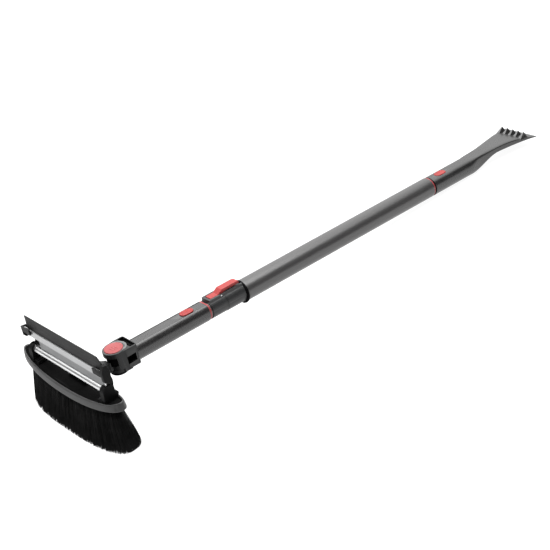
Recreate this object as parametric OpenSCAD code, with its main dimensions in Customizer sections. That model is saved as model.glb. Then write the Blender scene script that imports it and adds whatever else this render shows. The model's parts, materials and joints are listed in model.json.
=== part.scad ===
// Telescopic snow brush with a swinging brush head, a squeegee and an ice scraper.
// Millimetres. +X runs along the pole from the brush to the scraper and +Z is up.
// The part rests on its bristle tips and on the underside of the scraper socket.
// Distances along the pole are measured from the vertical axis of the head pivot.

/* [Pole] */
// Outside diameter of the outer tube
tube_d = 34; // [33.6:0.1:34.4]
// Wall of the outer tube
tube_wall = 1.6; // [1.4:0.1:1.8]
// Where the outer tube starts
tube_start = 234; // [230:1:238]
// Where the outer tube ends
tube_end = 647; // [644:1:649]
// Outside diameter of the inner pole
inner_d = 26; // [25.8:0.1:26]
// Wall of the inner pole
inner_wall = 1.5; // [1.2:0.1:1.8]
// Where the inner pole ends inside the outer tube
inner_end = 612; // [600:1:612]
// Distance between two latch holes
hole_pitch = 70; // [60:5:80]

/* [Neck] */
// Outside diameter of the neck
neck_d = 32.4; // [32:0.1:33]
// Where the neck starts inside the housing
neck_start = 24; // [23:0.5:25]
// Where the neck ends
neck_end = 160; // [156:1:161]
// Height of the flat on the neck above the pole axis
neck_flat = 14.6; // [14.4:0.1:15]

/* [Collar] */
// Where the collar starts
collar_start = 166; // [164:1:167]
// Where the front half of the collar meets the rear half
collar_seam = 195; // [194:0.5:196]
// Height of the raised rear pad of the latch lever above the pole axis
lever_top = 24.6; // [24:0.1:25.2]
// Width of the latch lever
lever_w = 12.6; // [11:0.2:13]

/* [Head] */
// From the pivot axis forward to the centre line of the brush
head_reach = 72; // [70:1:76]
// Height of the pivot centre above the bristle tips
pivot_h = 57; // [55:1:60]
// Length of the brush rim
rim_l = 246; // [230:1:250]
// Depth of the brush rim
rim_depth = 43; // [41:1:46]
// Height of the brush rim
rim_h = 11; // [10:0.5:13]
// How far the ends of the rim rise above its middle
rim_rise = 12; // [10:1:14]
// Length of the bristle field at the tips
bristle_l = 238; // [226:1:242]
// Depth of the bristle field at the tips
bristle_depth = 64; // [56:1:66]

/* [Squeegee] */
// Length of the aluminium rail
rail_l = 198; // [190:1:200]
// Height of the rail bead centre above the pivot centre
bead_z = 31; // [30:0.5:32]
// Diameter of the rail bead
bead_d = 11.2; // [10:0.1:11.4]
// Height of the rail's top edge above the pivot centre
rail_top = 66; // [65:0.5:67]
// Height of the rubber edge above the pivot centre
rubber_top = 86; // [82:1:90]

/* [Scraper] */
// Where the scraper socket starts
scraper_start = 652; // [650:0.5:654]
// Where the scraper blade ends
scraper_end = 892; // [888:1:896]
// Width of the blade at its edge
blade_w = 72; // [68:1:84]
// Height of the flat on the socket above the pole axis
scraper_flat = 13.6; // [13.4:0.1:14.2]
// Number of ice teeth
tooth_count = 5; // [3:1:7]

/* [Hidden] */
$fn = 64;
tube_r = tube_d / 2;
tube_bore = tube_r - tube_wall;
inner_r = inner_d / 2;
inner_bore = inner_r - inner_wall;
neck_r = neck_d / 2;
run = 0.06;            // radial clearance of a running fit
gap = 0.3;             // clearance between moving pieces
eps = 0.01;

// The pole leans down until the socket's underside meets the floor.
rest_x = 746;
pole_tilt = asin(pivot_h / norm([rest_x, tube_r])) - atan(tube_r / rest_x);
blade_tip_z = 5.2;
blade_tip_h = 1.4;
front_x = -head_reach - bristle_depth / 2;
rear_x = scraper_end * cos(pole_tilt) + (blade_tip_z + blade_tip_h) * sin(pole_tilt);
pivot_x = -(front_x + rear_x) / 2;

groove_w = 6;
groove_floor = inner_r - 1.2;
latch_x = 174;
hole_count = 6;
button_l = 23;
button_w = 14;
button_rise = 1.6;
neck_button_x = 129;
scraper_button_x = 679;
pin_x = 189;
pin_z = 17.1;
pin_r = 1.25;
lever_spring_x = 213;
shell_lift = 1.6;      // the neck's and the collar's centre above the pole axis
collar_r = 15.8;
collar_end = 229.5;
collar_flat = 16.4;
slot_start = 169.7;
cheek_y = 7;
cheek_top = 19;
spring_seat = 15.8;    // floor under the lever's spring
spigot_end = 244;
spigot_flat = 12;      // flat on top of the scraper's spigot, and the socket's bore behind it

axle_r = 4;
button_r = 13.9;
ring_r = 17;
drum_r = 14;
swing_open = 66;       // half angle of the housing's front opening

smile_r = (pow(rim_l / 2, 2) + pow(rim_rise, 2)) / (2 * rim_rise);
rim_wall = 5;
block_bottom = 0.5;
block_h = 7.5;
root_l = 212;
root_depth = 30.4;
foot_top = 17;
arm_seat = 12.8;
screw_bore = 1.6;
bracket_y = 86;
bracket_w = 9;
bracket_skin = 2;      // closed outer face of a bracket, over the bead's end
cap_y = rail_l / 2;
bead_l = 2 * (bracket_y + bracket_w - bracket_skin);
web_end = 69;

// Superellipse outline with its long side along Y.
function lens(half_l, half_d, power = 2.35, steps = 80) = [
    for (i = [0 : steps - 1])
        let (a = 360 * i / steps, c = cos(a), s = sin(a))
        [half_d * sign(c) * pow(abs(c), 2 / power), half_l * sign(s) * pow(abs(s), 2 / power)]
];

// Smooth S-curve from 0 to 1.
function ease(t) = let (u = min(1, max(0, t))) u * u * (3 - 2 * u);

// Half width of the scraper at a distance along the pole.
function blade_half(x) = let (waist = 15, t = (x - 768) / (scraper_end - 768))
    x < 740 ? tube_r
    : x < 768 ? tube_r + (waist - tube_r) * ease((x - 740) / 28)
    : waist + (blade_w / 2 - waist) * pow(t, 1.8);

// Height of the scraper's top face and of its underside at a distance along the pole.
function blade_top(x) = let (crest = scraper_flat + 2, t = max(0, (x - 836) / (scraper_end - 836)))
    scraper_flat + 2 * ease((x - 760) / 70) - (crest - blade_tip_z - blade_tip_h) * pow(t, 1.6);
function blade_low(x) = x < 740 ? -tube_r - 1
    : x < 812 ? -tube_r + (tube_r + 3.6) * ease((x - 740) / 72)
    : 3.6 + (blade_tip_z - 3.6) * ease((x - 812) / (scraper_end - 812));

module at_pivot() translate([pivot_x, 0, pivot_h]) children();
module at_pole() at_pivot() rotate([0, pole_tilt, 0]) children();
module at_brush() at_pivot() translate([-head_reach, 0, 0]) children();

// Cylinder along the pole between two distances.
module rod(x0, x1, r) translate([x0, 0, 0]) rotate([0, 90, 0]) cylinder(r = r, h = x1 - x0);

// Box between two corners.
module box(low, high) translate(low) cube(high - low);

// Rounded slot outline, long side along X.
module slot_shape(l, w) {
    square([l - w, w], center = true);
    for (side = [-1, 1]) translate([side * (l - w) / 2, 0]) circle(d = w);
}

// Extrusion across the part, from an outline drawn in X and Z.
module across(y0, y1) translate([0, y1, 0]) rotate([90, 0, 0]) linear_extrude(y1 - y0) children();

// Round bar along the pole with a flat on top, its centre raised above the pole axis by lift.
module flat_rod(x0, x1, r, flat, lift = 0) intersection() {
    translate([0, 0, lift]) rod(x0, x1, r);
    box([x0 - 1, -r - 1, -r - 1], [x1 + 1, r + 1, flat]);
}

// Coil spring standing on z0, drawn as separate turns joined by its own end rings.
module coil(x, y, z0, z1, r, wire, turns) {
    rise = (z1 - z0 - wire) / turns;
    translate([x, y, z0 + wire / 2])
        for (i = [0 : turns])
            translate([0, 0, i * rise]) rotate_extrude() translate([r, 0]) circle(d = wire, $fn = 16);
    for (side = [-1, 1])
        translate([x + side * r, y, z0 + wire / 2]) cylinder(d = wire * 0.8, h = z1 - z0 - wire, $fn = 16);
}

// Round-headed screw whose head sits on a face at z = seat.
module screw(seat, length) {
    translate([0, 0, seat]) cylinder(r = 2.8, h = 1.6);
    translate([0, 0, seat - length]) cylinder(r = screw_bore - 0.1, h = length);
}

// Slab that follows the brush's curve: flat along X, its ends rising along Y.
module smile_slab(half_l, half_d, z0, h) intersection() {
    translate([0, 0, z0 - 5]) linear_extrude(rim_rise + h + 20) polygon(lens(half_l, half_d));
    translate([-half_d - 1, 0, z0 + smile_r]) rotate([0, 90, 0]) difference() {
        cylinder(r = smile_r, h = 2 * half_d + 2, $fn = 720);
        translate([0, 0, -1]) cylinder(r = smile_r - h, h = 2 * half_d + 4, $fn = 720);
    }
}

/* ---- brush ---- */

module block_rim() color("dimgray") at_brush() difference() {
    smile_slab(rim_l / 2, rim_depth / 2, 0, rim_h);
    translate([0, 0, -20]) linear_extrude(60) polygon(lens(rim_l / 2 - rim_wall, rim_depth / 2 - rim_wall));
}

module brush_block() color([0.09, 0.09, 0.1]) difference() {
    at_brush() smile_slab(rim_l / 2 - rim_wall - 0.05, rim_depth / 2 - rim_wall - 0.05, block_bottom, block_h);
    at_brush() bracket_screw_sites() translate([0, 0, block_bottom + 8]) cylinder(r = screw_bore, h = 20);
    at_pivot() arm_screw_sites() translate([0, 0, block_bottom + 3]) cylinder(r = screw_bore, h = 20);
}

// The bristle field's outer shape: its root stands in the rim's opening, under the block.
module bristles() color([0.05, 0.05, 0.05]) at_brush() union() {
    difference() {
        hull() {
            translate([0, 0, -pivot_h]) linear_extrude(1) polygon(lens(bristle_l / 2, bristle_depth / 2, 2.8, 48));
            translate([0, 0, rim_rise]) linear_extrude(1) polygon(lens(root_l / 2, root_depth / 2, 2.35, 48));
        }
        translate([-40, 0, smile_r - gap]) rotate([0, 90, 0]) cylinder(r = smile_r, h = 80, $fn = 720);
    }
    smile_slab(root_l / 2, root_depth / 2, -1, block_bottom + 0.9);
}

/* ---- squeegee ---- */

// Side view of a squeegee bracket, with the brush's centre line at x = 0.
module bracket_shape() {
    intersection() {
        difference() {
            translate([-10, 44]) circle(r = 21);
            translate([-10, 44]) circle(r = 15.5);
        }
        translate([1.4, 27]) square([20, 36]);
    }
    translate([0, bead_z]) circle(r = 8.6);
    polygon([[-8.6, bead_z], [-10.5, 11], [10, 11], [9.6, 36], [0, bead_z]]);
    translate([10.4, 22]) circle(r = 3.6);
}

// Room in a bracket for the bead and the foot of the web.
module bead_room() {
    translate([0, bead_z]) circle(d = bead_d + 0.1);
    translate([-1.3, bead_z]) square([2.6, 20]);
}

// Room behind the channel, which the tip of the bracket's arm leans on.
module channel_room() translate([-3.7, rail_top - 12.1]) square([7.4, 20]);

module bracket(side) at_brush() {
    y = side > 0 ? bracket_y : -bracket_y - bracket_w;
    difference() {
        intersection() {
            union() {
                across(y, y + bracket_w) bracket_shape();
                // foot plate, screwed down on the block inside the rim
                across(side > 0 ? 76 : -95, side > 0 ? 95 : -76) translate([-9.5, 11]) square([18.5, foot_top - 11]);
            }
            // the underside follows the block's curved top
            translate([-20, 0, block_bottom + smile_r]) rotate([0, 90, 0])
                cylinder(r = smile_r - block_h - eps, h = 40, $fn = 720);
        }
        across(-bead_l / 2 - 0.1, bead_l / 2 + 0.1) bead_room();
        across(-cap_y, cap_y) channel_room();
        bracket_screw_sites() cylinder(r = screw_bore, h = 40);
    }
}

module bracket_screw_sites() for (side = [-1, 1]) for (x = [-6, 5]) translate([x, side * 80.5, 0]) children();

module bracket_left() color([0.13, 0.13, 0.14]) bracket(1);
module bracket_right() color([0.13, 0.13, 0.14]) bracket(-1);

module bracket_screws() color("silver") at_brush() bracket_screw_sites() screw(foot_top, 8);

module squeegee_rail() color([0.78, 0.79, 0.8]) at_brush() {
    // bead and web
    difference() {
        across(-bead_l / 2, bead_l / 2) difference() {
            union() {
                translate([0, bead_z]) circle(d = bead_d);
                translate([-1, bead_z + 4]) square([2, rail_top - 11 - bead_z - 4]);
            }
            translate([0, bead_z]) circle(r = 2.4);
            translate([-6, bead_z + 2.6]) square([2.6, 0.9]);
        }
        // the web stops short of the left bracket's arm
        box([-5, web_end, bead_z + 5.8], [5, 100, rail_top - 12]);
    }
    // channel that holds the rubber
    across(-rail_l / 2, rail_l / 2) difference() {
        translate([-3.6, rail_top - 12]) square([7.2, 12]);
        translate([-1.7, rail_top - 9]) square([3.4, 10]);
        translate([-2.6, rail_top - 9]) square([5.2, 4]);
    }
}

module squeegee_rubber() color([0.2, 0.21, 0.21]) at_brush() difference() {
    across(-98.6, 91) union() {
        translate([-2.5, rail_top - 8.9]) square([5, 3.8]);
        polygon([[-1.6, rail_top - 8.9], [1.6, rail_top - 8.9], [1.6, rail_top + 2], [0.7, rubber_top],
            [-0.7, rubber_top], [-1.6, rail_top + 2]]);
    }
    translate([0, -96.6, rubber_top]) rotate([45, 0, 0]) cube([20, 12, 12], center = true);
}

// End cap of the rail: a plate outside the rail's end and a clip along the channel's front face.
module rail_cap(side, thickness, outline) at_brush() mirror([0, side > 0 ? 0 : 1, 0]) {
    across(cap_y, cap_y + thickness) polygon(outline);
    box([-6.4, 80, 59], [-3.9, cap_y + 1, rail_top + 1.6]);
}

module rail_cap_left() color([0.12, 0.12, 0.13])
    rail_cap(1, 2.6, [[-6.4, 53], [-3, 49], [5, 49], [5, rail_top], [-6.4, rail_top + 2]]);
module rail_cap_right() color([0.12, 0.12, 0.13])
    rail_cap(-1, 6.5, [[-6.4, 53], [-3, 49], [5, 49], [5.5, rail_top + 2], [2.6, 77], [-2.6, 77], [-6.4, rail_top + 2]]);

/* ---- pivot, head side ---- */

module head_arm() color([0.36, 0.36, 0.37]) at_pivot() difference() {
    union() {
        translate([0, 0, -6.7]) cylinder(r = drum_r, h = 5.6);
        intersection() {
            across(-30, 30) polygon([[-5, -6.7], [-5, -1.1], [-14.4, -1.1], [-14.4, 6.5], [-30, 11], [-46, 15.2],
                [-56.4, 15.2], [-58.4, arm_seat], [-66.5, arm_seat], [-66.5, 8.5], [-55.9, 8.5], [-55.9, 11.7],
                [-50.2, 11.7], [-50.2, 0], [-40, -6.7]]);
            translate([0, 0, -20]) linear_extrude(60)
                polygon([[0, -6.5], [-16, -6.5], [-44, -22], [-80, -22], [-80, 22], [-44, 22], [-16, 6.5], [0, 6.5]]);
        }
    }
    translate([0, 0, -20]) cylinder(r = axle_r + run, h = 60);
    arm_screw_sites() cylinder(r = screw_bore, h = 30);
}

module arm_screw_sites() for (y = [-14, 14]) translate([-62, y, 0]) children();

module arm_screws() color("silver") at_pivot() arm_screw_sites() screw(arm_seat, 9);

module knuckle_drum() color([0.06, 0.06, 0.07]) at_pivot() difference() {
    translate([0, 0, -1.1]) cylinder(r = drum_r, h = 14.6);
    translate([0, 0, 3]) cylinder(r = 12.6, h = 20);
    translate([0, 0, -5]) cylinder(r = axle_r + run, h = 30);
}

/* ---- pivot, pole side ---- */

module pivot_housing() color([0.3, 0.3, 0.31]) at_pivot() difference() {
    union() {
        // round front and the side walls behind it
        translate([0, 0, -13]) linear_extrude(33.5) union() {
            circle(r = ring_r);
            polygon([[0, -ring_r], [12, -18], [12, 18], [0, ring_r]]);
        }
        // rear block that takes the neck, its top and bottom sloping along the pole
        difference() {
            across(-18, 18) polygon([[8, -13], [14, -13], [28, -15.4], [28, 19.5], [8, 20.5]]);
            for (side = [-1, 1]) {
                translate([0, side * 18, -15.4]) rotate([45, 0, 0]) cube([80, 6, 6], center = true);
                translate([28, side * 18, 0]) rotate([0, 0, 45]) cube([3.4, 3.4, 80], center = true);
            }
        }
    }
    // the bottom plate is no wider than the arm's root in front
    translate([0, 0, -14]) difference() {
        box([-30, -30, 0], [0, 30, 7.2]);
        cylinder(r = drum_r + gap, h = 8);
    }
    // room for the button
    translate([0, 0, 13]) cylinder(r = button_r + gap, h = 20);
    // room for the drum, and the opening that the arm swings in
    translate([0, 0, -7]) cylinder(r = drum_r + gap, h = 20.8);
    translate([0, 0, -7]) linear_extrude(20.8)
        polygon([[0, 0], 30 * [-cos(swing_open), -sin(swing_open)], [-60, -30], [-60, 30],
            30 * [-cos(swing_open), sin(swing_open)]]);
    // axle bore
    translate([0, 0, -30]) cylinder(r = axle_r + eps, h = 40);
    translate([0, 0, -30]) cylinder(r = 7.2, h = 18.8);
    // stepped pocket behind the button
    box([17.6, -15.8, 14.6], [26.6, 15.8, 40]);
    box([17.6, -15.8, 9], [23.2, 15.8, 15]);
    // side windows
    for (side = [-1, 1]) translate([15, side * 18, 2]) cube([15, 18, 12], center = true);
    // neck socket
    rotate([0, pole_tilt, 0]) flat_rod(neck_start, 60, neck_r, neck_flat, shell_lift);
}

module pivot_ring() color([0.5, 0.5, 0.51]) at_pivot() difference() {
    translate([0, 0, 20.5]) cylinder(r = 16.4, h = 0.8);
    translate([0, 0, 10]) cylinder(r = button_r + gap, h = 20);
}

module pivot_axle() color("silver") at_pivot() {
    translate([0, 0, -13]) cylinder(r = axle_r, h = 17);
    translate([0, 0, -15]) cylinder(r = 7, h = 3.8);
    // washer that keeps the drum down and carries the spring
    translate([0, 0, 3.2]) cylinder(r = 8.5, h = 1);
}

module pivot_cap() color([0.05, 0.05, 0.05]) at_pivot() difference() {
    translate([0, 0, -16.8]) cylinder(r = 13.5, h = 3.8);
    translate([0, 0, -15.3]) cylinder(r = 7.3, h = 4.3);
    rotate([0, pole_tilt, 0]) translate([0, 0, shell_lift]) rod(neck_start - 1, 60, neck_r + 1);
    box([10.9, -20, -20], [30, 20, 0]);
}

module pivot_spring() color("silver") at_pivot() coil(0, 0, 4.2, 8.55, 7, 0.9, 3);

module lock_gear() color([0.1, 0.1, 0.1]) at_pivot() translate([0, 0, 8.6]) linear_extrude(8.4) difference() {
    union() {
        circle(r = 11.2);
        for (i = [0 : 17]) rotate(i * 20) translate([10.5, -1]) square([1.7, 2]);
    }
    circle(r = 5);
}

module pivot_button() color([0.86, 0.14, 0.15]) at_pivot() {
    translate([0, 0, 17]) cylinder(r = button_r, h = 4.4);
    translate([0, 0, 21.4]) cylinder(r1 = button_r, r2 = button_r - 0.8, h = 0.8);
}

/* ---- neck ---- */

module button_window(x) translate([x, 0, 0]) linear_extrude(60) slot_shape(button_l + 2 * gap, button_w + 2 * gap);

module neck_tube() color([0.36, 0.36, 0.37]) at_pole() difference() {
    flat_rod(neck_start, neck_end, neck_r, neck_flat, shell_lift);
    rod(40, neck_end + 1, inner_r);
    button_window(neck_button_x);
}

module neck_seal() color([0.86, 0.14, 0.15]) at_pole() difference() {
    flat_rod(neck_end, neck_end + 2.6, neck_r - 0.5, neck_flat - 0.3, shell_lift);
    rod(neck_end - 1, neck_end + 4, inner_r);
}

// Oval button whose top has shallow grip ribs across it.
module oval_button(x, top, depth, ribs) translate([x, 0, top - depth]) difference() {
    linear_extrude(depth) slot_shape(button_l, button_w);
    if (ribs) for (i = [-3 : 3]) translate([i * 2.6, 0, depth]) cube([0.9, 10, 1], center = true);
}

module neck_button() color([0.86, 0.14, 0.15]) at_pole()
    oval_button(neck_button_x, neck_flat + button_rise, 5.8, true);

module neck_button_spring() color("silver") at_pole()
    coil(neck_button_x, 0, -10.5, neck_flat + button_rise - 5.8, 3.6, 0.9, 6);

/* ---- telescopic pole ---- */

module inner_pole() color([0.8, 0.81, 0.82]) at_pole() difference() {
    rod(40, inner_end, inner_r);
    // bore with a flat under the guide groove
    difference() {
        rod(39, inner_end + 1, inner_bore);
        box([160, -groove_w, groove_floor - inner_wall], [inner_end + 2, groove_w, 20]);
    }
    box([160, -groove_w / 2, groove_floor], [inner_end + 2, groove_w / 2, 20]);
    for (i = [0 : hole_count - 1]) translate([latch_x + i * hole_pitch, 0, 0]) cylinder(r = 2.3, h = 20);
    button_window(neck_button_x);
}

module pole_bush() color([0.1, 0.1, 0.1]) at_pole() difference() {
    rod(inner_end - 14, inner_end, tube_bore - 0.1);
    rod(inner_end - 15, inner_end + 1, inner_r);
}

module collar_front() color([0.15, 0.15, 0.16]) at_pole() difference() {
    union() {
        translate([0, 0, shell_lift]) rod(collar_start, collar_seam, collar_r);
        box([collar_start, -9.6, 0], [collar_seam, 9.6, cheek_top]);
    }
    rod(collar_start - 1, collar_seam + 1, inner_r + run);
    box([slot_start, -lever_w / 2 - gap, 0], [collar_seam + 1, lever_w / 2 + gap, 30]);
    translate([pin_x, 0, pin_z]) rotate([90, 0, 0]) cylinder(r = pin_r, h = 40, center = true);
}

module collar_rear() color([0.17, 0.17, 0.18]) at_pole() difference() {
    union() {
        flat_rod(collar_seam, collar_end, collar_r + 0.5, collar_flat, shell_lift);
        // cheeks beside the lever
        for (side = [-1, 1]) translate([collar_seam, side > 0 ? cheek_y : -cheek_y - 2.6, 8])
            cube([collar_end - collar_seam, 2.6, cheek_top - 8]);
        rod(collar_end, spigot_end, tube_bore);
    }
    rod(collar_seam - 1, spigot_end + 1, inner_r + run);
    // seat of the lever's spring
    translate([lever_spring_x, 0, spring_seat]) cylinder(r = 4.2, h = 10);
}

module collar_ring() color([0.04, 0.04, 0.04]) at_pole() difference() {
    rod(collar_end, tube_start, tube_r + 1.6);
    rod(collar_end - 1, tube_start + 1, tube_bore);
}

// Rocker: a pawl and a low toe in front of the pin, and a raised pad behind it.
module latch_lever() color([0.86, 0.14, 0.15]) at_pole() union() {
    across(-lever_w / 2, lever_w / 2) difference() {
        union() {
            polygon([[171, 15.8], [171, 19.2], [185, 19.2], [193, lever_top], [222, lever_top], [226, lever_top - 1.2],
                [226, lever_top - 4.6], [200, lever_top - 4.6], [194, 17.6], [192, 15.8]]);
            translate([pin_x, pin_z]) circle(r = 2.1);
        }
        translate([pin_x, pin_z]) circle(r = pin_r + 0.05);
    }
    // pawl, standing in the pole's groove over a latch hole
    box([latch_x - 2, -2, groove_floor + gap], [latch_x + 2, 2, 16.6]);
}

module lever_pin() color("silver") at_pole()
    translate([pin_x, 0, pin_z]) rotate([90, 0, 0]) cylinder(r = pin_r, h = 19, center = true);

module lever_spring() color("silver") at_pole() coil(lever_spring_x, 0, spring_seat, lever_top - 4.6, 3, 0.7, 2);

module outer_tube() color([0.33, 0.33, 0.34]) at_pole() difference() {
    rod(tube_start, tube_end, tube_r);
    rod(tube_start - 1, tube_end + 1, tube_bore);
}

/* ---- scraper ---- */

module scraper_seal() color([0.86, 0.14, 0.15]) at_pole() difference() {
    rod(tube_end, tube_end + 2.4, tube_r - 0.5);
    rod(tube_end - 1, tube_end + 4, 14.8);
}

module scraper_spigot() color([0.05, 0.05, 0.05]) at_pole() difference() {
    union() {
        rod(620, tube_end, tube_bore);
        flat_rod(tube_end, 666, 14.8, spigot_flat);
        rod(tube_end, scraper_start, 14.8);
        rod(tube_end + 2.4, scraper_start, 16);
        box([660, -8, -3], [694, 8, 1]);
    }
    rod(619, 664, 11);
}

module scraper_body() color([0.38, 0.38, 0.39]) at_pole() difference() {
    union() {
        flat_rod(scraper_start, 741, tube_r, scraper_flat);
        intersection() {
            across(-60, 60) polygon(concat(
                [for (x = [736 : 4 : scraper_end]) [x, blade_low(x)]],
                [for (x = [scraper_end : -4 : 736]) [x, blade_top(x)]]));
            translate([0, 0, -40]) linear_extrude(80) polygon(concat(
                [for (x = [736 : 4 : scraper_end]) [x, -blade_half(x)]],
                [for (x = [scraper_end : -4 : 736]) [x, blade_half(x)]]));
            // the body keeps its round underside until the blade starts
            union() {
                rod(730, 790, tube_r);
                box([760, -60, 0], [900, 60, 30]);
            }
        }
        for (i = [0 : tooth_count - 1]) translate([0, (i - (tooth_count - 1) / 2) * 12, 0]) ice_tooth();
    }
    rod(scraper_start - 1, 735, spigot_flat);
    flat_rod(scraper_start - 1, 667, 14.8, spigot_flat);
    button_window(scraper_button_x);
}

// Wedge that rises towards the blade's edge and drops steeply.
module ice_tooth() {
    base = blade_top(866) - 2;
    peak = base + 9.6;
    intersection() {
        across(-6, 6) polygon([[856, base], [876, base], [872, peak], [870.6, peak]]);
        translate([850, 0, 0]) rotate([90, 0, 90]) linear_extrude(40)
            polygon([[-5, base], [5, base], [0.6, peak], [-0.6, peak]]);
    }
}

module scraper_button() color([0.86, 0.14, 0.15]) at_pole()
    oval_button(scraper_button_x, scraper_flat + 0.9, 5.2, false);

module scraper_button_spring() color("silver") at_pole()
    coil(scraper_button_x, 0, 1, scraper_flat + 0.9 - 5.2, 3.6, 0.9, 4);

block_rim();
brush_block();
bristles();
bracket_left();
bracket_right();
bracket_screws();
squeegee_rail();
squeegee_rubber();
rail_cap_left();
rail_cap_right();
head_arm();
arm_screws();
knuckle_drum();
pivot_housing();
pivot_axle();
pivot_cap();
pivot_ring();
pivot_spring();
pivot_button();
lock_gear();
neck_tube();
neck_seal();
neck_button();
neck_button_spring();
inner_pole();
pole_bush();
collar_front();
collar_rear();
collar_ring();
latch_lever();
lever_pin();
lever_spring();
outer_tube();
scraper_seal();
scraper_spigot();
scraper_body();
scraper_button();
scraper_button_spring();
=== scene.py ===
"""Looks of a telescopic snow brush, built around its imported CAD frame.

Lengths in the piece functions are millimetres in one of three frames: POLE runs along the pole from the
pivot, HEAD stands upright at the pivot, and BRUSH is HEAD moved to the middle of the brush.
"""

import json
import math
import random

import bmesh
import bpy
from mathutils import Matrix, Vector, noise

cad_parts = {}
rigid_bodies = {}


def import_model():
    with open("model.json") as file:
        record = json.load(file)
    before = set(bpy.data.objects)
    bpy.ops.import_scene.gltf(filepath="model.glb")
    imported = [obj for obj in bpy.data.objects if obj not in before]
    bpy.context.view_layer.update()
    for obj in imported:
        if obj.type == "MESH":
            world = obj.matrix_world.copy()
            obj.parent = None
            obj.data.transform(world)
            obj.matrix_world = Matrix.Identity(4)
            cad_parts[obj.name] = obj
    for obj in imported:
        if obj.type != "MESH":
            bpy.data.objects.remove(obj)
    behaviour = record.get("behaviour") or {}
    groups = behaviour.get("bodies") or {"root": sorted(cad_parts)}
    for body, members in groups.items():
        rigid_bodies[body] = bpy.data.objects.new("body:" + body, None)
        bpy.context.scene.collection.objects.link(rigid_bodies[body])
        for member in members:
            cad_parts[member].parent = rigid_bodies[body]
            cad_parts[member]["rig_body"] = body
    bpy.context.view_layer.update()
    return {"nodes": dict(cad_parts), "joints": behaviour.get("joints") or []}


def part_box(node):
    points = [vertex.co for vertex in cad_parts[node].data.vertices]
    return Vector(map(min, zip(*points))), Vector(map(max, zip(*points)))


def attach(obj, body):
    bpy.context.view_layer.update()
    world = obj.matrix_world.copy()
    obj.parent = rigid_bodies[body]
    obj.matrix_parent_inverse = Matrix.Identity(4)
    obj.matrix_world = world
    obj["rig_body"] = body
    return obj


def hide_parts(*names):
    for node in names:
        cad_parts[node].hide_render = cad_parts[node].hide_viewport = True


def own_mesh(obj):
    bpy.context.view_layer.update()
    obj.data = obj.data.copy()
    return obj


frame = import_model()

MM = 0.001
JOINTS = {joint["name"]: joint for joint in frame["joints"]}
PIVOT = Vector(JOINTS["head_swing"]["pos_m"])
ALONG = -Vector(JOINTS["pole_slide"]["axis"]).normalized()
ACROSS = Vector((0, 1, 0))
PIVOT_HEIGHT = PIVOT.z / MM

HEAD = Matrix.Translation(PIVOT) @ Matrix.Scale(MM, 4)
POLE_TURN = Matrix((ALONG, ACROSS, ALONG.cross(ACROSS))).transposed().to_4x4()
POLE = Matrix.Translation(PIVOT) @ POLE_TURN @ Matrix.Scale(MM, 4)
BLOCK_LOW, BLOCK_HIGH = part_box("brush_block")
HEAD_REACH = (PIVOT.x - (BLOCK_LOW.x + BLOCK_HIGH.x) / 2) / MM
BRUSH = HEAD @ Matrix.Translation((-HEAD_REACH, 0, 0))


# ---- small mesh tools ----

def ease(t):
    """Smooth S-curve from 0 to 1."""
    t = min(1.0, max(0.0, t))
    return t * t * (3 - 2 * t)


def blend(a, b, t):
    return a + (b - a) * t


def power(value, exponent):
    """Power that keeps the sign."""
    return math.copysign(abs(value) ** exponent, value)


def arc(cx, cy, r, start, end, steps):
    """Points of an arc, angles in degrees."""
    turns = [math.radians(blend(start, end, i / steps)) for i in range(steps + 1)]
    return [(cx + r * math.cos(a), cy + r * math.sin(a)) for a in turns]


def full_turn(count):
    """Equal steps round a circle, in radians."""
    return [2 * math.pi * k / count for k in range(count)]


def loft(rings, closed=False):
    """Vertices and faces of a skin over equal rings, capped at its ends or closed into a loop."""
    n = len(rings[0])
    verts = [p for ring in rings for p in ring]
    faces = []
    for k in range(len(rings) if closed else len(rings) - 1):
        a, b = k * n, (k + 1) % len(rings) * n
        faces += [(a + i, a + (i + 1) % n, b + (i + 1) % n, b + i) for i in range(n)]
    if not closed:
        faces.append(tuple(reversed(range(n))))
        faces.append(tuple(range(len(verts) - n, len(verts))))
    return verts, faces


def lathe_along(profile):
    """Closed ring turned about the pole axis, from an outline of (distance, radius)."""
    rings = [[(x, r * math.cos(a), r * math.sin(a)) for x, r in profile] for a in full_turn(96)]
    return loft(rings, closed=True)


def lathe_up(profile):
    """Solid turned about the vertical axis, from an outline of (radius, height) from axis to axis."""
    return loft([[(r * math.cos(a), r * math.sin(a), z) for a in full_turn(96)] for r, z in profile])


def across(outline, low, high, steps=1):
    """Prism along Y from an outline of (x, z)."""
    return loft([[(x, blend(low, high, k / steps), z) for x, z in outline] for k in range(steps + 1)])


def slot_point(angle, length, width):
    """Point of a rounded slot outline, long side along X."""
    half, r = (length - width) / 2, width / 2
    c, s = math.cos(angle), math.sin(angle)
    return math.copysign(half, c) * min(1.0, abs(c) * 3) + r * c, r * s


def helix(radius, low, high, wire, turns):
    """Coil spring about the vertical axis with flat end turns."""
    steps_per_turn = 20
    rings = []
    total = int(turns * steps_per_turn)
    for k in range(total + 1):
        t, a = k / total, 2 * math.pi * k / steps_per_turn
        climb = (t - 0.06) / 0.88
        rise = ease(climb) * 0.15 + 0.85 * min(1, max(0, climb))
        z = blend(low + wire / 2, high - wire / 2, rise)
        ring = []
        for u in full_turn(8):
            reach = radius + wire / 2 * math.cos(u)
            ring.append((reach * math.cos(a), reach * math.sin(a), z + wire / 2 * math.sin(u)))
        rings.append(ring)
    return loft(rings)


def joined(*solids):
    """Several vertex and face lists as one."""
    verts, faces = [], []
    for v, f in solids:
        faces += [tuple(i + len(verts) for i in face) for face in f]
        verts += v
    return verts, faces


def shifted(solid, x=0.0, y=0.0, z=0.0):
    verts, faces = solid
    return [(p[0] + x, p[1] + y, p[2] + z) for p in verts], faces


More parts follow.
